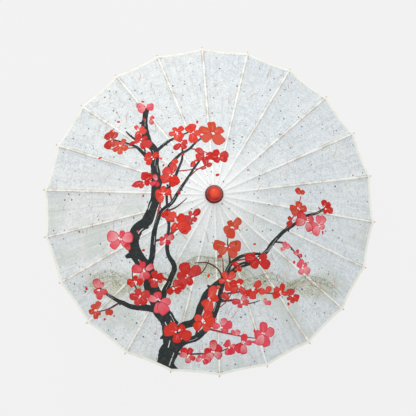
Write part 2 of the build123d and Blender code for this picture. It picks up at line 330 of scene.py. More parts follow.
def painted_paper():
    """Top of the canopy. The painting itself arrives as the sheet's own colours."""
    graph = Graph("painted_oiled_paper")
    colour, fibres, relief = bare_paper(graph)

    broken = graph.span(graph.noise(graph.place, 34.0, 5.0, 0.7), 0.35, 0.6, 0.4, 1.0)
    wash = graph.times(graph.attribute("wash"), broken)
    colour = graph.mix(graph.times(wash, 0.9), colour, srgb(192, 190, 158))
    stipple = graph.span(graph.noise(graph.place, 330.0, 3.0, 0.6, 0.5), 0.5, 0.6, 0.0, 0.8)
    colour = graph.mix(graph.times(wash, stipple), colour, srgb(112, 116, 92))

    distance, value = graph.cells(graph.place, 105.0)
    size = graph.times(graph.math("POWER", value, 3.4), 0.27)
    specks = graph.math("LESS_THAN", distance, size)
    colour = graph.mix(graph.times(specks, 0.85), colour, srgb(80, 70, 76))

    # The strip over each rib: painted shade over its flanks and, along its crest, a pale line that is
    # partly the rib showing through the paper and partly a painted highlight.
    ridge = graph.attribute("ridge")
    outward = graph.span(graph.polar()[0], 0.07, 0.24)
    ridge_shade_and_highlight_breakup = graph.noise(graph.place, 30.0, 4.0, 0.7)
    # Painted shade: a brownish band over the ridge out to its foot, broken up by noise, missing near
    # the crown and full further out.
    foot = graph.times(graph.span(ridge, 0.02, 0.3), graph.span(ridge_shade_and_highlight_breakup, 0.42, 0.6, 0.0, 0.7))
    colour = graph.mix(graph.times(foot, outward), colour, srgb(170, 158, 142))
    # Pale crest line, part rib showing through and part painted highlight: narrower and whiter near the
    # crown, wider and cream further out, broken up by noise.
    crest_highlight_edge = graph.span(outward, 0.0, 1.0, 0.78, 0.5)
    crest = graph.times(graph.span(ridge, crest_highlight_edge, 0.98), graph.span(ridge_shade_and_highlight_breakup, 0.7, 0.4, 0.4, 0.9))
    colour = graph.mix(crest, colour, graph.mix(outward, srgb(253, 254, 252), srgb(252, 249, 239)))

    pigment = graph.node("ShaderNodeAttribute", attribute_name="pigment")
    pools = graph.noise(graph.place, 110.0, 4.0, 0.6, 0.5)
    tone = graph.mix(graph.span(pools, 0.5, 0.7, 0.0, 0.04), pigment.outputs["Color"],
                     srgb(236, 206, 196))
    cover = graph.times(pigment.outputs["Alpha"], graph.span(fibres, 0.4, 0.7, 1.0, 0.95))
    colour = graph.mix(cover, colour, tone)

    graph.bump(relief, 0.35 * MM)
    rough = graph.span(graph.noise(graph.place, 25.0, 3.0), 0.3, 0.7, 0.5, 0.68)
    return graph.finish(colour, rough, specular=0.15)


def plain_paper():
    """Underside of the canopy: the painting shows through as a faint shade."""
    graph = Graph("oiled_paper_underside")
    colour, fibres, relief = bare_paper(graph)
    colour = graph.mix(0.35, colour, srgb(232, 222, 196))
    pigment = graph.node("ShaderNodeAttribute", attribute_name="pigment")
    colour = graph.mix(graph.times(pigment.outputs["Alpha"], 0.35), colour, pigment.outputs["Color"])
    graph.bump(relief, 0.3 * MM)
    return graph.finish(colour, graph.span(fibres, 0.3, 0.7, 0.55, 0.7), specular=0.3)


def binding_paper():
    graph = Graph("cream_binding_paper")
    fibres = paper_fibres(graph)
    stains = graph.noise(graph.place, 50.0, 4.0, 0.6)
    colour = graph.mix(graph.span(stains, 0.4, 0.75, 0.0, 0.6), srgb(245, 246, 239),
                       srgb(227, 224, 204))
    colour = graph.mix(graph.span(fibres, 0.42, 0.6, 0.0, 0.25), colour, srgb(214, 212, 198))
    graph.bump(graph.plus(fibres, stains), 0.2 * MM)
    return graph.finish(colour, graph.span(stains, 0.3, 0.7, 0.5, 0.7), specular=0.3)


def radial_grain(graph, fine):
    """Grain coordinates of the bars that point away from the shaft: along each bar, to the
    side of its own middle line, and up, with a different start for every bar."""
    radius, angle = graph.polar()
    number = graph.math("ROUND", graph.math("DIVIDE", angle, 2 * HALF_PITCH))
    local = graph.math("SUBTRACT", angle, graph.times(number, 2 * HALF_PITCH))
    side = graph.times(local, radius)
    level = graph.times(graph.axes(graph.place)[2], fine / 4)
    return graph.join(graph.times(radius, 12.0), graph.times(side, fine),
                      graph.plus(level, graph.times(number, 7.3)))


def bamboo():
    """Split bamboo bars: straw colour, fine streaks along the bar, brown flecks."""
    graph = Graph("split_bamboo")
    grain = radial_grain(graph, 1600.0)
    streaks = graph.noise(grain, 1.0, 4.0, 0.6)
    colour = graph.mix(graph.span(streaks, 0.35, 0.65), srgb(196, 160, 104), srgb(226, 198, 148))
    patches = graph.noise(graph.place, 22.0, 3.0)
    colour = graph.mix(graph.span(patches, 0.5, 0.75, 0.0, 0.45), colour, srgb(160, 118, 66))
    flecks = graph.noise(graph.scaled(grain, (4.0, 1.0, 1.0)), 1.0, 2.0)
    colour = graph.mix(graph.span(flecks, 0.66, 0.74, 0.0, 0.7), colour, srgb(104, 70, 38))
    graph.bump(streaks, 0.15 * MM)
    return graph.finish(colour, graph.span(streaks, 0.3, 0.7, 0.4, 0.6), coat=0.1)


def turned_wood(name, light, dark, streak, coat):
    """Wood with grain along the shaft, faint lathe rings and rubbed patches."""
    graph = Graph(name)
    grain = graph.scaled(graph.place, (420.0, 420.0, 14.0))
    streaks = graph.noise(grain, 1.0, 5.0, 0.62, 0.3)
    colour = graph.mix(graph.span(streaks, 0.34, 0.66), dark, light)
    pores = graph.noise(graph.scaled(graph.place, (1500.0, 1500.0, 60.0)), 1.0, 2.0)
    colour = graph.mix(graph.span(pores, 0.6, 0.72, 0.0, streak), colour,
                       tuple(0.45 * part for part in dark))
    rubbed = graph.noise(graph.place, 40.0, 3.0)
    colour = graph.mix(graph.span(rubbed, 0.55, 0.75, 0.0, 0.3), colour, light)
    rings = graph.noise(graph.scaled(graph.place, (8.0, 8.0, 900.0)), 1.0, 2.0)
    graph.bump(graph.plus(streaks, graph.times(rings, 0.6)), 0.12 * MM)
    return graph.finish(colour, graph.span(rubbed, 0.3, 0.7, 0.3, 0.5), coat=coat)


def lacquer(name, deep, bright, crown, painted_highlight_levels=(0.0, 1.0)):
    """Glossy lacquer over turned wood, with a painted highlight: lighter as it rises from one level to
    another.
    """
    graph = Graph(name)
    depth = graph.noise(graph.place, 90.0, 3.0, 0.5, 0.4)
    colour = graph.mix(graph.span(depth, 0.3, 0.7), deep, bright)
    # Painted highlight: the crown colour is mixed in as the surface rises from the first level to the
    # second.
    level = graph.plus(graph.axes(graph.place)[2], graph.times(depth, 2 * MM))
    colour = graph.mix(graph.span(level, *painted_highlight_levels), colour, crown)
    scuffs = graph.noise(graph.scaled(graph.place, (700.0, 260.0, 700.0)), 1.0, 4.0, 0.7)
    colour = graph.mix(graph.span(scuffs, 0.64, 0.76, 0.0, 0.3), colour, crown)
    graph.bump(graph.noise(graph.place, 150.0, 2.0), 0.1 * MM)
    rough = graph.span(scuffs, 0.45, 0.75, 0.14, 0.4)
    return graph.finish(colour, rough, specular=0.2, coat=0.12, coat_roughness=0.05)


def wire_steel(name, colour, tarnish):
    graph = Graph(name)
    drawn = graph.noise(graph.place, 600.0, 3.0)
    spots = graph.noise(graph.place, 220.0, 4.0, 0.7)
    mixed = graph.mix(graph.span(spots, 0.5, 0.72, 0.0, 0.8), colour, tarnish)
    graph.bump(drawn, 0.03 * MM)
    return graph.finish(mixed, graph.span(drawn, 0.3, 0.7, 0.28, 0.5), metallic=1.0)


PAPER = painted_paper()
PAPER_UNDER = plain_paper()
BINDING = binding_paper()
NODE_MATERIALS = {
    "rib": bamboo(),
    "shaft": turned_wood("lacquered_shaft_wood", srgb(176, 124, 72), srgb(128, 80, 42), 0.5, 0.3),
    "top_hub": turned_wood("waxed_hub_wood", srgb(206, 170, 118), srgb(168, 126, 76), 0.4, 0.1),
    "handle_grip": turned_wood("dark_grip_wood", srgb(120, 52, 32), srgb(66, 24, 16), 0.6, 0.6),
    # The knob is painted lighter from 8 mm below its top upward, a painted highlight.
    "finial_knob": lacquer("red_lacquer", srgb(128, 2, 0), srgb(196, 16, 4), srgb(240, 86, 56),
                           (KNOB_TOP - 8 * MM, KNOB_TOP + 2 * MM)),
    "finial_collar": lacquer("dark_lacquer", srgb(28, 2, 4), srgb(74, 8, 8), srgb(120, 40, 36)),
    "wire": wire_steel("hinge_wire_steel", srgb(150, 150, 148), srgb(92, 78, 64)),
    "catch_spring": wire_steel("spring_steel", srgb(176, 174, 168), srgb(120, 104, 82)),
}
SAME_MATERIAL = {
    "stretcher": "rib",
    "stop_pin": "rib",
    "runner": "top_hub",
    "end_cap": "finial_collar",
    "top_hub_wire": "wire",
    "runner_wire": "wire",
    "catch_pin": "wire",
}


def finish_cad_nodes():
    """Give the carried-over CAD nodes their materials. The two paper nodes are replaced."""
    for name, node in frame["nodes"].items():
        family = name.rstrip("_0123456789")
        family = SAME_MATERIAL.get(family, family)
        if family in NODE_MATERIALS:
            node.data.materials.clear()
            node.data.materials.append(NODE_MATERIALS[family])


# ----------------------------------------------------------
# Shape of the paper
# ----------------------------------------------------------


def fold_rib(x, y):
    """Nearest rib's index, the point's place along it and its distance to the side of it."""
    angle = math.atan2(y, x)
    index = round(angle / (2 * HALF_PITCH))
    local = angle - index * 2 * HALF_PITCH
    radius = math.hypot(x, y)
    return index % RIBS, radius * math.cos(local), radius * math.sin(local)


def rim_radius(local_angle, inset=0.0):
    """Radius of the rim at an angle from the nearest rib: a chord, drawn in at the middle."""
    from_middle = HALF_PITCH - abs(local_angle)
    chord = (RIM_RADIUS - inset) * math.cos(HALF_PITCH) / math.cos(from_middle)
    return chord - RIM_BOW * (1 - (from_middle / HALF_PITCH) ** 2)


def paper_z(x, y):
    """Level of the paper's top: ridges over the ribs, a slight sag between them."""
    _, along, side = fold_rib(x, y)
    beyond = max(0.0, abs(side) - RIDGE_HALF_WIDTH)
    fall = smooth_step(0, RIDGE_FOOT - RIDGE_HALF_WIDTH, beyond)
    height = PAPER_OVER_RIB + (PAPER_BETWEEN - PAPER_OVER_RIB) * fall
    across = min(1.0, math.atan2(beyond, along) / HALF_PITCH)
    sag = SAG * (along / RIM_RADIUS) ** 1.3 * (1 - (1 - across) ** 2)
    facet = math.tan(SLOPE) * (along - HINGE_CIRCLE + beyond * math.tan(HALF_PITCH))
    return HUB_HINGE.z + height / math.cos(SLOPE) - facet - sag


def paper_point(x, y):
    return Vector((x, y, paper_z(x, y)))


def paper_normal(x, y):
    step = 0.2 * MM
    run_x = (paper_z(x + step, y) - paper_z(x - step, y)) / (2 * step)
    run_y = (paper_z(x, y + step) - paper_z(x, y - step)) / (2 * step)
    return Vector((-run_x, -run_y, 1)).normalized()


# ----------------------------------------------------------
# The painting: a plain flowering tree over low hills, grown by rule from seeded numbers.
# Lengths are in millimetres and angles in radians.
# ----------------------------------------------------------

SMALLEST_SHAPE = (0.1 * MM) ** 2
BRUSH_SEEDS = {"hills": 21, "fibres": 7, "limbs": 3, "flowers": 12}
CHARCOAL = srgb(26, 34, 34)
BROWN_INK = srgb(76, 22, 26)
RED_TWIG = srgb(160, 32, 26)
REDS = (srgb(214, 34, 16), srgb(202, 20, 10), srgb(224, 48, 26))
PINKS = (srgb(222, 42, 62), srgb(230, 70, 88), srgb(212, 22, 40))
RUSTS = (srgb(204, 54, 24), srgb(192, 36, 16), srgb(212, 68, 36))
BARE_STREAK = srgb(206, 210, 208)
STAMEN = srgb(248, 244, 238)
HILL_INKS = (srgb(84, 92, 76), srgb(108, 114, 92), srgb(132, 130, 104))
FIBRE_INKS = (srgb(190, 134, 122), srgb(168, 140, 128), srgb(198, 122, 108))

# The tree stands just outside the rim; its limbs leave it to either side in turn.
TREE_SEED = 8
TREE_FOOT = (-118, -424)
TREE_HEADING = 1.6
TREE_LENGTH = 760
TREE_WIDTH = 44
BEND_STEP = 34
WANDER = 0.3
STEADINESS = 0.35  # share of a limb's straying that it makes good at each bend
SHOOT_LEAN = (0.6, 1.05)
SHOOT_SHARE = (0.55, 0.85)
SHOOT_CHANCE = 0.55
SHOOT_WIDTH = 0.45  # of the limb's own width where it leaves
SHORTEST_SHOOT = 60
LAST_LEVEL = 2
CLEAR_MIDDLE = 62
PAINTED_RADIUS = 385
FIRST_KNOT, KNOT_SPACING = 9, 14  # in points of a limb's line
STREAK_POINTS, STREAK_SPACING = 6, 12

# Low hills side by side along a level horizon.
HILL_SEED = 4
HILL_COUNT = 5
HILL_SPACING = 124
HORIZON = -205
HILL_STRAY = 22  # how far a hill's foot may be off the horizon
HILL_REACH = (74, 112)  # to each side of its middle
HILL_HEIGHT = (34, 60)
CREST_WAVE = 60  # between the humps of a crest
CREST_PASSES = (0.0, 0.0, 0.0, 0.3, 0.3, 0.6)  # how far down the slope each one runs
WASH_RAGGED_OVER = 24  # between the tongues of a wash's edge
WASH_RAGGED_BY = 14
WASH_LAYERS = (0, 9)  # of the noise that shifts the edge, one for each direction

# Loose reddish fibres in the paper.
FIBRE_COUNT = 220
FIBRE_RADIUS = 408
FIBRE_LENGTH = (8, 34)
FIBRE_WIDTH = (1.0, 2.6)

# Flowers, and the brush dabs they are made of.
FLOWER_SIZE = (26, 58)
BUD_SIZE = 33  # below this a flower is a bud
CROWDING = 0.36  # least distance of two flowers, as a share of their sizes together
DAB_CORNERS = 14
DAB_ROUGHNESS = 0.07
RIM_TONE = 0.82  # the darker rim that a dab dries with
RIM_INSET = 0.84


def smooth_line(places, start_width, end_width, step=4.0):
    """Points and widths every few millimetres along a Catmull-Rom curve through the places."""
    curve = []
    for index, (start, end) in enumerate(zip(places, places[1:])):
        before = places[max(index - 1, 0)]
        after = places[min(index + 2, len(places) - 1)]
        count = max(2, round(math.dist(start, end) / step))
        for part in range(count):
            t = part / count
            curve.append([0.5 * (2 * b + (c - a) * t + (2 * a - 5 * b + 4 * c - d) * t * t
                                 + (3 * b - a - 3 * c + d) * t ** 3)
                          for a, b, c, d in zip(before, start, end, after)])
    curve.append(places[-1])
    last = len(curve) - 1
    return [(east, north, start_width + (end_width - start_width) * place / last)
            for place, (east, north) in enumerate(curve)]


def stepped(place, angle, distance):
    """The point at a distance from a place, in a direction."""
    return (place[0] + distance * math.cos(angle), place[1] + distance * math.sin(angle))


class Painting:
    """Coloured polygons on the plan, in metres in the part's axes; later ones lie on top."""

    def __init__(self):
        self.shapes = []  # (points, colour at the first point, colour opposite, cover)

    def add(self, points, colour, cover=1.0, far_colour=None):
        turned = [tuple(in_picture(east * MM, north * MM).xy) for east, north in points]
        if abs(signed_area(turned)) > SMALLEST_SHAPE:
            self.shapes.append((turned, colour, far_colour or colour, cover))

    def stroke(self, line, colour, cover=0.96, rough=0.2, seed=1, shift=0.0):
        """Brush stroke with wavering edges; shift moves it sideways by a share of its width."""
        rails = []
        for step, (east, north, width) in enumerate(line):
            ahead = line[min(step + 1, len(line) - 1)]
            behind = line[max(step - 1, 0)]
            across = Vector((behind[1] - ahead[1], ahead[0] - behind[0])).normalized()
            edges = []
            for hand in (1, -1):
                spot = Vector((step * 0.17, 7.3 * seed, 3.1 * hand))
                waver = max(0.3, 1 + rough * (noise.noise(spot) + 0.4 * noise.noise(4 * spot)))
                edges.append(Vector((east, north)) + across * width * (shift + hand * waver / 2))
            rails.append(edges)
        for (left, right), (next_left, next_right) in zip(rails, rails[1:]):
            self.add((left, right, next_right), colour, cover)
            self.add((left, next_right, next_left), colour, cover)

    def dab(self, place, length, width, angle, colour, rng, far_colour=None):
        """Blunt brush dab that starts at a place and widens away from it, darker at its rim."""
        points = []
        for step in range(DAB_CORNERS):
            turn = 2 * math.pi * step / DAB_CORNERS
            reach = 1 + rng.uniform(-DAB_ROUGHNESS, DAB_ROUGHNESS)
            square_x = math.copysign(abs(math.cos(turn)) ** 0.75, math.cos(turn))
            square_y = math.copysign(abs(math.sin(turn)) ** 0.8, math.sin(turn))
            along = length / 2 * (1 + square_x * reach)
            side = width / 2 * square_y * reach * (0.5 + 0.5 * math.sqrt(max(0, along / length)))
            points.append(stepped(stepped(place, angle, along), angle + math.pi / 2, side))
        middle_x, middle_y = stepped(place, angle, length / 2)
        self.add(points, tuple(RIM_TONE * part for part in colour))
        self.add([(middle_x + RIM_INSET * (x - middle_x), middle_y + RIM_INSET * (y - middle_y))
                  for x, y in points], colour, 1.0, far_colour)

    def dot(self, place, radius, colour):
        self.add([stepped(place, turn * math.pi / 3, radius) for turn in range(6)], colour, 0.95)


def paler(colour, share):
    return tuple(part + (1 - part) * share for part in colour)


def paint():
    painting = Painting()
    paint_hills(painting)
    paint_fibres(painting)
    limbs = grow_limb(random.Random(TREE_SEED), TREE_FOOT, TREE_HEADING, TREE_LENGTH, TREE_WIDTH, 0)
    paint_limbs(painting, limbs)
    paint_flowers(painting, limbs)
    return painting


def lay_hills():
    """The hills from left to right, as (middle, foot level, reach, height)."""
    rng = random.Random(HILL_SEED)
    return [((number - (HILL_COUNT - 1) / 2) * HILL_SPACING,
             HORIZON + rng.uniform(-HILL_STRAY, HILL_STRAY),
             rng.uniform(*HILL_REACH), rng.uniform(*HILL_HEIGHT)) for number in range(HILL_COUNT)]


HILLS = lay_hills()


def crest(hill, east):
    """Level of a hill's crest line at a place along it."""
    middle, foot, reach, height = hill
    hump = math.cos(math.pi / 2 * min(1.0, abs(east - middle) / reach))
    return foot + height * hump * (1 + 0.35 * noise.noise(Vector((east / CREST_WAVE, foot, 0))))


def paint_hills(painting):
    """Crest lines gone over several times with a fine brush, and scrub in short dabs."""
    rng = random.Random(BRUSH_SEEDS["hills"])
    for hill in HILLS:
        middle, _, reach, height = hill
        for fall in CREST_PASSES:
            shift = rng.uniform(-6, 6)
            half = reach * (1 - fall / 2)
            places = [(east, crest(hill, east + shift) - fall * height + rng.uniform(-2, 2))
                      for east in spaced(middle - half, middle + half, 22)]
            painting.stroke(smooth_line(places, rng.uniform(0.6, 1.8), rng.uniform(0.5, 1.2), 9),
                            rng.choice(HILL_INKS), rng.uniform(0.3, 0.6), 0.6, rng.random())
        for _ in range(round(reach)):
            east = middle + rng.uniform(-0.8, 0.8) * reach
            place = (east, crest(hill, east) - abs(rng.gauss(0, 0.35)) * height)
            lean, length = math.pi / 2 + rng.gauss(0, 0.8), rng.uniform(3, 8)
            painting.stroke(smooth_line([place, stepped(place, lean, length)], 2.4, 1.0, length),
                            rng.choice(HILL_INKS), rng.uniform(0.35, 0.75), 0.3, rng.random())


def paint_fibres(painting):
    """Short curved hairs spread over the sheet, most of them upright."""
    rng = random.Random(BRUSH_SEEDS["fibres"])
    for _ in range(FIBRE_COUNT):
        radius = FIBRE_RADIUS * math.sqrt(rng.uniform(0.03, 1))
        east, north = polar(radius, rng.uniform(0, 2 * math.pi))
        lean, length = rng.gauss(1.5, 0.5), rng.uniform(*FIBRE_LENGTH)
        middle = (east + length * 0.5 * math.cos(lean) + rng.uniform(-4, 4), north + length * 0.5)
        tip = stepped((east, north), lean, length)
        painting.stroke(smooth_line([(east, north), middle, tip], rng.uniform(*FIBRE_WIDTH), 0.6, 9),
                        rng.choice(FIBRE_INKS), rng.uniform(0.3, 0.7), 0.6, rng.random())


def room(place, heading):
    """How far a straight shoot runs from a place before it leaves the painted circle."""
    outward = place[0] * math.cos(heading) + place[1] * math.sin(heading)
    return math.sqrt(max(0.0, outward ** 2 + PAINTED_RADIUS ** 2 - math.hypot(*place) ** 2)) - outward


def grow_limb(rng, place, heading, length, width, level):
    """A limb and all that grows from it, as (level, places, width at the start). Shoots leave
    its bends to either side in turn and are no longer than the sheet has room for."""
    places = [place]
    shoots = []
    course = heading
    hand = rng.choice((-1, 1))
    bends = max(3, round(length / BEND_STEP))
    for bend in range(1, bends):
        heading += rng.gauss(0, WANDER) + STEADINESS * (course - heading)
        ahead = stepped(places[-1], heading, BEND_STEP)
        if math.hypot(*ahead) < CLEAR_MIDDLE:
            break
        places.append(ahead)
        lean = heading + hand * rng.uniform(*SHOOT_LEAN)
        wanted = rng.uniform(*SHOOT_SHARE) * length * (1 - bend / bends)
        shoot_length = min(wanted, 0.95 * room(ahead, lean))
        if level < LAST_LEVEL and shoot_length > SHORTEST_SHOOT and rng.random() < SHOOT_CHANCE:
            shoots += grow_limb(rng, ahead, lean, shoot_length,
                                width * (1 - 0.6 * bend / bends) * SHOOT_WIDTH, level + 1)
            hand = -hand
    return [(level, places, width)] + shoots


def paint_limbs(painting, limbs):
    """Charcoal limbs with knots and dry-brush streaks, and thin brown or red shoots."""
    rng = random.Random(BRUSH_SEEDS["limbs"])
    shoots_first = sorted(limbs, key=lambda limb: -limb[0])
    for number, (level, places, width) in enumerate(shoots_first):
        if level == LAST_LEVEL:
            line = smooth_line(places, min(6.0, max(3.4, width)), 2.0)
            painting.stroke(line, rng.choice((BROWN_INK, RED_TWIG)), 0.96, 0.3, number)
            continue
        line = smooth_line(places, width, max(3.0, width * 0.3))
        painting.stroke(line, CHARCOAL, 0.99, 0.22, number)
        for east, north, thickness in line[FIRST_KNOT::KNOT_SPACING]:
            lean = rng.uniform(0, 2 * math.pi)
            stub = smooth_line([(east, north), stepped((east, north), lean, thickness * 0.9)],
                               thickness * 0.7, thickness * 0.25)
            painting.stroke(stub, CHARCOAL, 0.99, 0.5, number + 0.5)
        for _ in range(len(line) // STREAK_SPACING):
            start = rng.randrange(len(line) - STREAK_POINTS)
            thin = [(east, north, thickness * 0.05)
                    for east, north, thickness in line[start:start + STREAK_POINTS]]
            painting.stroke(thin, BARE_STREAK, 0.4, 1.2, rng.random(), rng.uniform(-7, 7))


def paint_flower(painting, place, size, colours, rng):
    """Four or five overlapping brush dabs round a gap with pale dots, most flowers seen a
    little from the side. Small ones are buds."""
    colour = rng.choice(colours)
    petals = rng.choice((4, 5)) if size > BUD_SIZE else rng.choice((1, 2, 3))
    first, turn = rng.uniform(0, 2 * math.pi), rng.uniform(0, 2 * math.pi)
    narrowing = rng.uniform(0.5, 1.0)
    for petal in range(petals):
        around = first + petal * 2 * math.pi / 5 + rng.uniform(-0.35, 0.35)
        face_x, face_y = math.cos(around), narrowing * math.sin(around)
        angle = turn + math.atan2(face_y, face_x)
        length = size * rng.uniform(0.42, 0.66) * (0.35 + 0.65 * math.hypot(face_x, face_y))
        breadth = length * rng.uniform(0.6, 0.95) + size * 0.06
        tone = paler(colour, rng.choice((0.0, 0.01, 0.03)))
        base_tone = paler(tone, rng.choice((0.0, 0.1, 0.35)) if colours is PINKS else 0.0)
        base = stepped(place, angle, size * rng.uniform(0.0, 0.08))
        painting.dab(base, length, breadth, angle, tone, rng, base_tone)
        for _ in range(rng.choice((0, 1, 2))):
            tip = stepped(base, angle + rng.uniform(-0.3, 0.3), length * rng.uniform(0.5, 0.8))
            middle = (0.7 * base[0] + 0.3 * tip[0], 0.7 * base[1] + 0.3 * tip[1])
            painting.stroke(smooth_line([middle, tip], 1.4, 0.6), paler(tone, 0.16), 1.0, 0.4, petal)
    if petals > 3:
        for _ in range(rng.choice((2, 3, 4))):
            painting.dot(stepped(place, rng.uniform(0, 2 * math.pi), size * rng.uniform(0.02, 0.12)),
                         rng.uniform(1.3, 2.4), STAMEN)


def paint_flowers(painting, limbs):
    """Flowers at the tips and bends of the limbs and shoots, with a few loose petals."""
    rng = random.Random(BRUSH_SEEDS["flowers"])
    placed = []
    for level, places, _ in limbs:
        colours = rng.choice((REDS, REDS, REDS, PINKS, RUSTS))
        spots = places[:0:-1] if level == LAST_LEVEL else places[:-3:-1]
        for bend in spots:
            size = rng.uniform(*FLOWER_SIZE)
            spot = stepped(bend, rng.uniform(0, 2 * math.pi), rng.uniform(0, 14))
            free = all(math.dist(spot, other) > CROWDING * (size + width) for other, width in placed)
            if free and CLEAR_MIDDLE < math.hypot(*spot) < PAINTED_RADIUS:
                placed.append((spot, size))
                paint_flower(painting, spot, size, colours, rng)
        loose = stepped(places[-1], rng.uniform(0, 2 * math.pi), rng.uniform(20, 40))
        painting.dab(loose, rng.uniform(6, 11), rng.uniform(5, 8), rng.uniform(0, 6.28),
                     rng.choice(colours), rng)


def wash_strength(x, y):
    """How deep the hill wash is at a plan point, 0 to 1."""
    spot = Matrix.Rotation(-PAINTING_TURN, 2) @ Vector((x, y)) / MM
    ragged = [noise.noise(Vector((*spot / WASH_RAGGED_OVER, layer))) for layer in WASH_LAYERS]
    spot += Vector(ragged) * WASH_RAGGED_BY
    total = 0.0
    for middle, foot, reach, height in HILLS:
        along, up = (spot.x - middle) / (0.8 * reach), (spot.y - foot - 0.4 * height) / (0.7 * height)
        total += 0.8 * math.exp(-(along ** 2 + up ** 2) ** 2)
    return min(1.0, total)


# ----------------------------------------------------------
# Cutting the plan into sheet pieces
# ----------------------------------------------------------

def polar(radius, angle):
    return (radius * math.cos(angle), radius * math.sin(angle))


def beside_rib(rib_angle, along, side):
    """Plan point from its place along a rib and to the side of it."""
    cos_rib, sin_rib = math.cos(rib_angle), math.sin(rib_angle)
    return (along * cos_rib - side * sin_rib, along * sin_rib + side * cos_rib)


def spaced(start, end, step):
    """Numbers from start to end, both included, about step apart."""
    count = max(1, math.ceil(abs(end - start) / step))
    return [start + (end - start) * part / count for part in range(count + 1)]


def strip_edge(limit):
    """Angle from a rib at which the side of its strip meets a limit, a radius by angle."""
    angle = 0.0
    for _ in range(4):
        angle = math.asin(RIDGE_HALF_WIDTH / limit(angle))
    return angle


def side_outline(rib_angle, hand, inner, outer):
    """Half gore between the ridge strip and the mid line, from inner to outer, which are
    functions of the angle from the rib. Hand is +1 to the left of the rib, -1 to the right."""
    low, high = strip_edge(inner), strip_edge(outer)
    outline = [polar(inner(a), rib_angle + hand * a)
               for a in spaced(low, HALF_PITCH, GRID_STEP / inner(low))]
    outline += [polar(r, rib_angle + hand * HALF_PITCH)
                for r in spaced(inner(HALF_PITCH), outer(HALF_PITCH), GRID_STEP)[1:-1]]
    outline += [polar(outer(a), rib_angle + hand * a)
                for a in spaced(HALF_PITCH, high, GRID_STEP / outer(0))]
    inner_along = inner(low) * math.cos(low)
    outer_along = outer(high) * math.cos(high)
    outline += [beside_rib(rib_angle, along, hand * RIDGE_HALF_WIDTH)
                for along in spaced(outer_along, inner_along, GRID_STEP)[1:-1]]
    return outline


def ridge_outline(rib_angle, inner, outer):
    """Strip of paper over one rib."""
    low, high = strip_edge(inner), strip_edge(outer)
    alongs = spaced(inner(low) * math.cos(low), outer(high) * math.cos(high), GRID_STEP)
    right = [beside_rib(rib_angle, along, -RIDGE_HALF_WIDTH) for along in alongs]
    left = [beside_rib(rib_angle, along, RIDGE_HALF_WIDTH) for along in reversed(alongs)]
    return right + [polar(outer(0), rib_angle)] + left + [polar(inner(0), rib_angle)]


def crown_outline(rib_angle):
    edge = math.asin(RIDGE_HALF_WIDTH / CROWN_RADIUS)
    outer = sorted([-HALF_PITCH, -edge, 0.0, edge, HALF_PITCH])
    return ([polar(CROWN_RADIUS, rib_angle + a) for a in outer]
            + [polar(PAPER_HOLE, rib_angle + a) for a in reversed(outer)])


def sheet_regions():
    """Outline of every sheet piece on the plan, by rib index and kind."""
    def crown_edge(_):
        return CROWN_RADIUS

    def band_edge(angle):
        return rim_radius(angle, BINDING_WIDTH)

    regions = {}
    for index in range(RIBS):
        rib_angle = index * 2 * HALF_PITCH
        regions[index, "crown"] = crown_outline(rib_angle)
        regions[index, "ridge"] = ridge_outline(rib_angle, crown_edge, band_edge)
        regions[index, "ridge_binding"] = ridge_outline(rib_angle, band_edge, rim_radius)
        for side, hand in (("left", 1), ("right", -1)):
            regions[index, side] = side_outline(rib_angle, hand, crown_edge, band_edge)
            regions[index, side + "_binding"] = side_outline(rib_angle, hand, band_edge, rim_radius)
    return regions


def inner_points():
    """Points and edges inside the outlines, so that the sheets can curve."""
    rows = spaced(CROWN_RADIUS + GRID_STEP / 2, RIM_RADIUS - 1.5 * BINDING_WIDTH, GRID_STEP)
    points, edges = [], []
    for radius in rows:
        columns = max(1, round(radius * HALF_PITCH / GRID_STEP))
        for half_gore in range(RIBS * 2):
            for column in range(columns):
                x, y = polar(radius, (half_gore + (column + 0.5) / columns) * HALF_PITCH)
                if abs(fold_rib(x, y)[2]) > RIDGE_FOOT * 1.3:
                    points.append((x, y))
    for index in range(RIBS):
        for side in (-RIDGE_FOOT, -RIDGE_HALF_WIDTH / 2, 0, RIDGE_HALF_WIDTH / 2, RIDGE_FOOT):
            start = len(points)
            points += [beside_rib(index * 2 * HALF_PITCH, radius, side) for radius in rows]
            edges += [(place, place + 1) for place in range(start, len(points) - 1)]
    return points, edges


def cut_plan(painting):
    """One triangulation of the whole plan. Returns its points and, for each sheet piece, its
    triangles with the painted shape that lies on top there."""
    regions = sheet_regions()
    owners = list(regions)
    outlines = list(regions.values()) + [shape[0] for shape in painting.shapes]
    points, faces = [], []
    for outline in outlines:
        onward = outline if signed_area(outline) > 0 else outline[::-1]
        faces.append(list(range(len(points), len(points) + len(outline))))
        points += onward
    inside, edges = inner_points()
    edges = [(first + len(points), second + len(points)) for first, second in edges]
    cut, _, triangles, _, _, sources = delaunay_2d_cdt(
        [Vector(point) for point in points + inside], edges, faces, 1, 1e-7, True)
    pieces = {owner: [] for owner in owners}
    for triangle, source in zip(triangles, sources):
        x, y = sum((cut[corner] for corner in triangle), Vector((0, 0))) / 3
        covering = [face for face in sorted(source) if encloses(outlines[face], x, y)]
        if not covering or covering[0] >= len(owners):
            continue
        top = covering[-1] - len(owners)
        pieces[owners[covering[0]]].append((list(triangle), painting.shapes[top] if top >= 0 else None))
    return [tuple(point) for point in cut], pieces


# ----------------------------------------------------------
# Sheet meshes
# ----------------------------------------------------------


NO_PIGMENT = (1.0, 1.0, 1.0, 0.0)


def pigment_at(shape, point):
    """Colour and cover of a painted shape at a point, shading from one end to the other."""
    if shape is None:
        return NO_PIGMENT
    outline, colour, far_colour, cover = shape
    if far_colour is colour:
        return (*colour, cover)
    near, far = outline[0], outline[len(outline) // 2]
    share = min(1.0, math.dist(point, near) / math.dist(far, near))
    return (*(a + (b - a) * share for a, b in zip(colour, far_colour)), cover)


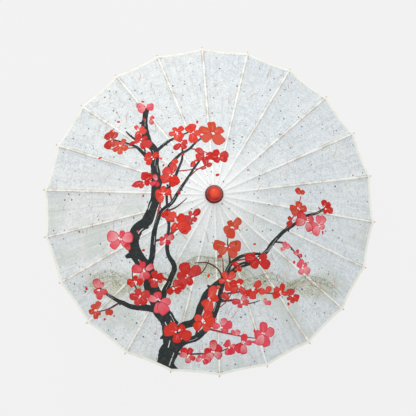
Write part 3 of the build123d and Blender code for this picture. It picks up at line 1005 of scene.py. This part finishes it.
def sheet_faces(plan, number, triangles):
    """Top and bottom faces of a sheet and the faces that close its edge, with each face's
    material slot (0 painted, 1 plain), each corner's pigment and the edges on the border."""
    count = len(number)
    faces, slots, colours = [], [], []
    edge_uses = {}
    for triangle, shape in triangles:
        (ax, ay), (bx, by), (cx, cy) = (plan[corner] for corner in triangle)
        if (bx - ax) * (cy - ay) - (by - ay) * (cx - ax) < 0:
            triangle = [triangle[0], triangle[2], triangle[1]]
        a, b, c = (number[corner] for corner in triangle)
        pigments = [pigment_at(shape, plan[corner]) for corner in triangle]
        faces += [(a, b, c), (a + count, c + count, b + count)]
        slots += [0, 1]
        colours += pigments + [pigments[0], pigments[2], pigments[1]]
        for edge in ((a, b), (b, c), (c, a)):
            edge_uses[frozenset(edge)] = None if frozenset(edge) in edge_uses else edge
    borders = [edge for edge in edge_uses.values() if edge]
    faces += [(second, first, first + count, second + count) for first, second in borders]
    slots += [1] * len(borders)
    colours += [NO_PIGMENT] * 4 * len(borders)
    return faces, slots, colours, borders


def sheet_piece(name, plan, triangles, lift, materials):
    """Closed thin sheet over some triangles of the plan, with the painting as corner colours."""
    used = sorted({corner for triangle, _ in triangles for corner in triangle})
    number = {corner: place for place, corner in enumerate(used)}
    top, bottom = [], []
    for corner in used:
        point, normal = paper_point(*plan[corner]), paper_normal(*plan[corner])
        top.append(point + normal * lift)
        bottom.append(point + normal * (lift - PAPER_THICKNESS))
    faces, slots, colours, borders = sheet_faces(plan, number, triangles)
    mesh = bpy.data.meshes.new(name)
    mesh.from_pydata(top + bottom, [], faces)
    mesh.polygons.foreach_set("material_index", slots)
    mesh.polygons.foreach_set("use_smooth", [True] * len(faces))
    pigment = mesh.attributes.new("pigment", "FLOAT_COLOR", "CORNER")
    pigment.data.foreach_set("color", [part for colour in colours for part in colour])
    washes = [wash_strength(*plan[corner]) for corner in used]
    mesh.attributes.new("wash", "FLOAT", "POINT").data.foreach_set("value", washes * 2)
    ridges = [1 - smooth_step(RIDGE_HALF_WIDTH * 0.6, RIDGE_FOOT * 0.9,
                              abs(fold_rib(*plan[corner])[2])) for corner in used]
    mesh.attributes.new("ridge", "FLOAT", "POINT").data.foreach_set("value", ridges * 2)
    mark_sharp(mesh, {frozenset(edge) for edge in borders}, len(used))
    for material in materials:
        mesh.materials.append(material)
    mesh.validate()
    piece = bpy.data.objects.new(name, mesh)
    bpy.context.scene.collection.objects.link(piece)
    return piece


def mark_sharp(mesh, borders, count):
    """Keep the sheet's cut edges crisp, so that shading doesn't round them over."""
    sharp = []
    for edge in mesh.edges:
        first, second = edge.vertices
        level = {first < count, second < count}
        sharp.append(len(level) == 2 or frozenset((first % count, second % count)) in borders)
    mesh.attributes.new("sharp_edge", "BOOLEAN", "EDGE").data.foreach_set("value", sharp)


def pleat(piece):
    """Give a half gore its own copy of its mesh data."""
    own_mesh(piece)


def build_canopy():
    plan, pieces = cut_plan(paint())
    for (index, kind), triangles in sorted(pieces.items()):
        binding = kind.endswith("binding")
        label = "rim_binding" if binding else "canopy"
        side = kind.replace("_binding", "")
        name = f"{label}_{index + 1:02d}_{side}"
        materials = (BINDING, BINDING) if binding else (PAPER, PAPER_UNDER)
        piece = sheet_piece(name, plan, triangles, BINDING_LIFT if binding else 0.0, materials)
        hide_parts(label)
        body = f"rib_{index + 1:02d}"
        if side == "crown":
            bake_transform(piece)
            continue
        if side in ("left", "right"):
            pleat(piece)
        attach(piece, body)


# ----------------------------------------------------------
# Studio
# ----------------------------------------------------------

FLOOR_SIZE = 24.0
FLOOR_GLOW = 0.935
SKY_LIGHT = 0.8
SKY_SEEN = 0.9
KEY_SIDE = (-0.35, 1.0)  # where the key light stands, in the painting's axes
KEY_AWAY = 1.8
KEY_ABOVE = 1.75
KEY_SIZE = 1.3
KEY_POWER = 20
RIB_CIRCLE = OUTER_RADIUS - 2 * MM
CAMERA_DISTANCE = 4.0 * RIB_CIRCLE
CAMERA_ELEVATION = math.radians(81)
CAMERA_SIDE = math.radians(254)  # the side the camera leans to, in the painting's axes
CAMERA_AIM = (-6.5 * MM, -5.2 * MM)  # from the middle of the rim
LENS = 57.6


def build_stage():
    """Pale floor that glows a little, so that the umbrella's shadow on it stays faint. Seen
    from below it is clear, so that the underside of the umbrella can be looked at."""
    graph = Graph("pale_studio_floor")
    tone = graph.noise(graph.place, 2.0, 2.0)
    colour = graph.mix(graph.span(tone, 0.3, 0.7), srgb(68, 68, 68), srgb(70, 70, 70))
    graph.finish(colour, 0.9, specular=0.0)
    graph.feed(graph.surface.inputs["Emission Color"], srgb(242, 242, 242))
    graph.surface.inputs["Emission Strength"].default_value = FLOOR_GLOW
    clear = graph.node("ShaderNodeBsdfTransparent")
    from_below = graph.node("ShaderNodeMixShader")
    graph.feed(from_below.inputs["Fac"], graph.node("ShaderNodeNewGeometry").outputs["Backfacing"])
    graph.feed(from_below.inputs[1], graph.surface.outputs["BSDF"])
    graph.feed(from_below.inputs[2], clear.outputs["BSDF"])
    graph.feed(graph.tree.nodes["Material Output"].inputs["Surface"], from_below.outputs["Shader"])
    mesh = bpy.data.meshes.new("studio_floor")
    half = FLOOR_SIZE / 2
    mesh.from_pydata([(-half, -half, 0), (half, -half, 0), (half, half, 0), (-half, half, 0)], [],
                     [(0, 1, 2, 3)])
    mesh.materials.append(graph.material)
    floor = bpy.data.objects.new("studio_floor", mesh)
    floor.location.z = cad_low.z - 1 * MM
    bpy.context.scene.collection.objects.link(floor)


def area_light(name, place, target, size, power):
    data = bpy.data.lights.new(name, "AREA")
    data.size = size
    data.energy = power
    light = bpy.data.objects.new(name, data)
    light.location = place
    light.rotation_euler = (target - place).to_track_quat("-Z", "Y").to_euler()
    bpy.context.scene.collection.objects.link(light)


def build_lights():
    """Even sky with one large soft light from beyond the far rim. The sky that the camera
    sees is paler than the sky that lights the umbrella."""
    world = bpy.data.worlds.new("studio")
    world.use_nodes = True
    nodes, links = world.node_tree.nodes, world.node_tree.links
    path = nodes.new("ShaderNodeLightPath")
    level = nodes.new("ShaderNodeMapRange")
    level.inputs["To Min"].default_value = SKY_LIGHT
    level.inputs["To Max"].default_value = SKY_SEEN
    links.new(path.outputs["Is Camera Ray"], level.inputs["Value"])
    nodes["Background"].inputs["Color"].default_value = (1, 1, 1, 1)
    links.new(level.outputs["Result"], nodes["Background"].inputs["Strength"])
    bpy.context.scene.world = world
    middle = Vector((0, 0, RIM_Z))
    high = Vector((0, 0, 1))
    place = middle + in_picture(*KEY_SIDE) * KEY_AWAY + high * KEY_ABOVE
    area_light("key", place, middle, KEY_SIZE, KEY_POWER)
    bpy.context.scene.view_settings.view_transform = "Standard"


def build_camera():
    """Nearly overhead, tipped so that the knob sits above the middle of the rim."""
    target = Vector((0, 0, RIM_Z)) + in_picture(*CAMERA_AIM)
    back = (in_picture(*polar(math.cos(CAMERA_ELEVATION), CAMERA_SIDE))
            + Vector((0, 0, math.sin(CAMERA_ELEVATION))))
    up_hint = in_picture(0, 1)
    up = (up_hint - back * up_hint.dot(back)).normalized()
    right = up.cross(back)
    data = bpy.data.cameras.new("camera")
    data.lens = LENS
    camera = bpy.data.objects.new("camera", data)
    turned = Matrix((right, up, back)).transposed().to_4x4()
    camera.matrix_world = Matrix.Translation(target + back * CAMERA_DISTANCE) @ turned
    bpy.context.scene.collection.objects.link(camera)
    bpy.context.scene.camera = camera


finish_cad_nodes()
build_canopy()
build_stage()
build_lights()
build_camera()

bpy.context.view_layer.update()
